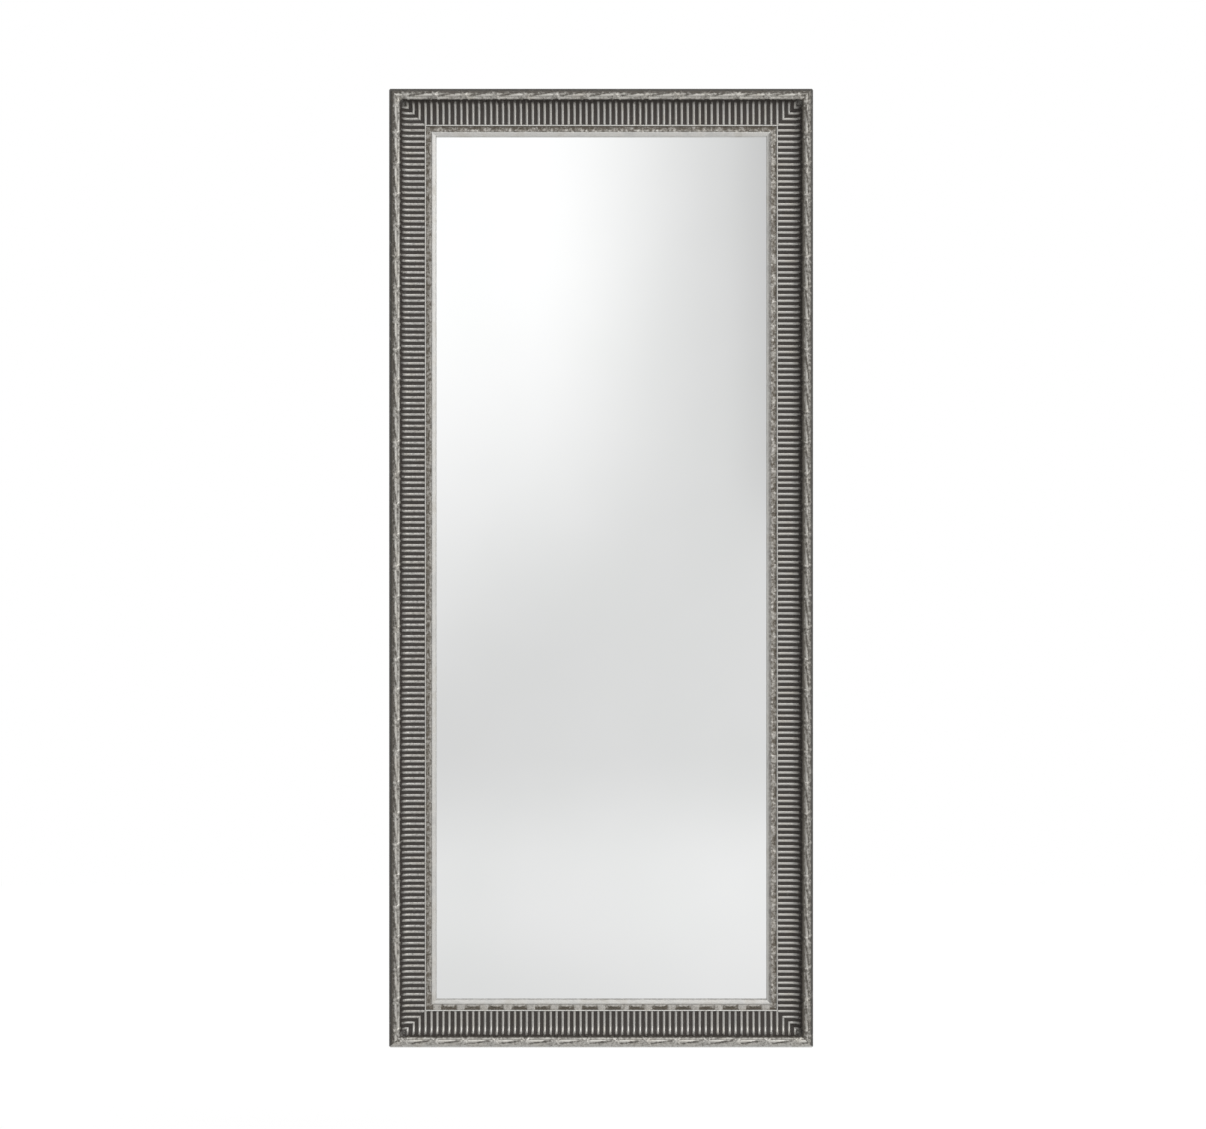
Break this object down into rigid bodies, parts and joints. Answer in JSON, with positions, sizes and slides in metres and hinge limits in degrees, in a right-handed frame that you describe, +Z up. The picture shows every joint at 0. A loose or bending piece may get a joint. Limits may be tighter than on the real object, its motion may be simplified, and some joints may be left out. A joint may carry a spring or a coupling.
{
  "type": "full-length mirror",
  "caption": "Tall rectangular wall mirror in a mitred scoop frame with ribbon-tied outer bead, reeded cove, small leaf border and plain lip, hung from ring hangers.",
  "frame": {"origin": "on the flat back of the top rail, midway along it and midway across it", "axes": "+Z up along the mirror's height, +X to the right seen from the front, +Y towards the wall; the glass faces -Y"},
  "size_m": [0.72, 0.051, 1.628],
  "materials": {
    "frame_timber": "milled softwood, antique silver leaf on its front edges, bare and lightly stained at the back",
    "reeded_facing": "cast compo, antique silver leaf with dark patina left in the grooves",
    "ribbon_run": "cast compo, rubbed antique silver leaf over a warm grey ground",
    "leaf_run": "cast compo, rubbed antique silver leaf with warm brown patina",
    "mirror_glass": "clear float glass, silvered and painted on its back",
    "backing_board": "hardboard, smooth brown face with faint pressed fibres",
    "setting_block": "firm black rubber strip",
    "spring_steel": "bright spring steel with a light oil film",
    "zinc_plated_steel": "zinc-plated steel, softly cloudy",
    "screw_steel": "yellow-passivated steel",
    "bumper_rubber": "soft dark rubber"
  },
  "bodies": {
    "frame": {"top_rail": "frame_timber", "bottom_rail": "frame_timber", "left_stile": "frame_timber", "right_stile": "frame_timber", "top_reeds": "reeded_facing", "bottom_reeds": "reeded_facing", "left_reeds": "reeded_facing", "right_reeds": "reeded_facing", "top_ribbon": "ribbon_run", "bottom_ribbon": "ribbon_run", "left_ribbon": "ribbon_run", "right_ribbon": "ribbon_run", "top_leaves": "leaf_run", "bottom_leaves": "leaf_run", "left_leaves": "leaf_run", "right_leaves": "leaf_run", "mirror_glass": "mirror_glass", "backing_board": "backing_board", "setting_blocks": "setting_block", "framers_points": "spring_steel", "corner_v_nails": "spring_steel", "left_hanger_strap": "zinc_plated_steel", "right_hanger_strap": "zinc_plated_steel", "hanger_screws": "screw_steel", "wall_bumpers": "bumper_rubber"},
    "left_ring": {"left_hanger_ring": "zinc_plated_steel"},
    "right_ring": {"right_hanger_ring": "zinc_plated_steel"}
  },
  "joints": [
    {"name": "left_ring_hinge", "type": "hinge", "parent": "frame", "child": "left_ring", "pos_m": [-0.32475, 0.00278, -0.26475], "axis": [-1, 0, 0], "range_deg": [0, 170]},
    {"name": "right_ring_hinge", "type": "hinge", "parent": "frame", "child": "right_ring", "pos_m": [0.32475, 0.00278, -0.26475], "axis": [-1, 0, 0], "range_deg": [0, 170]}
  ]
}
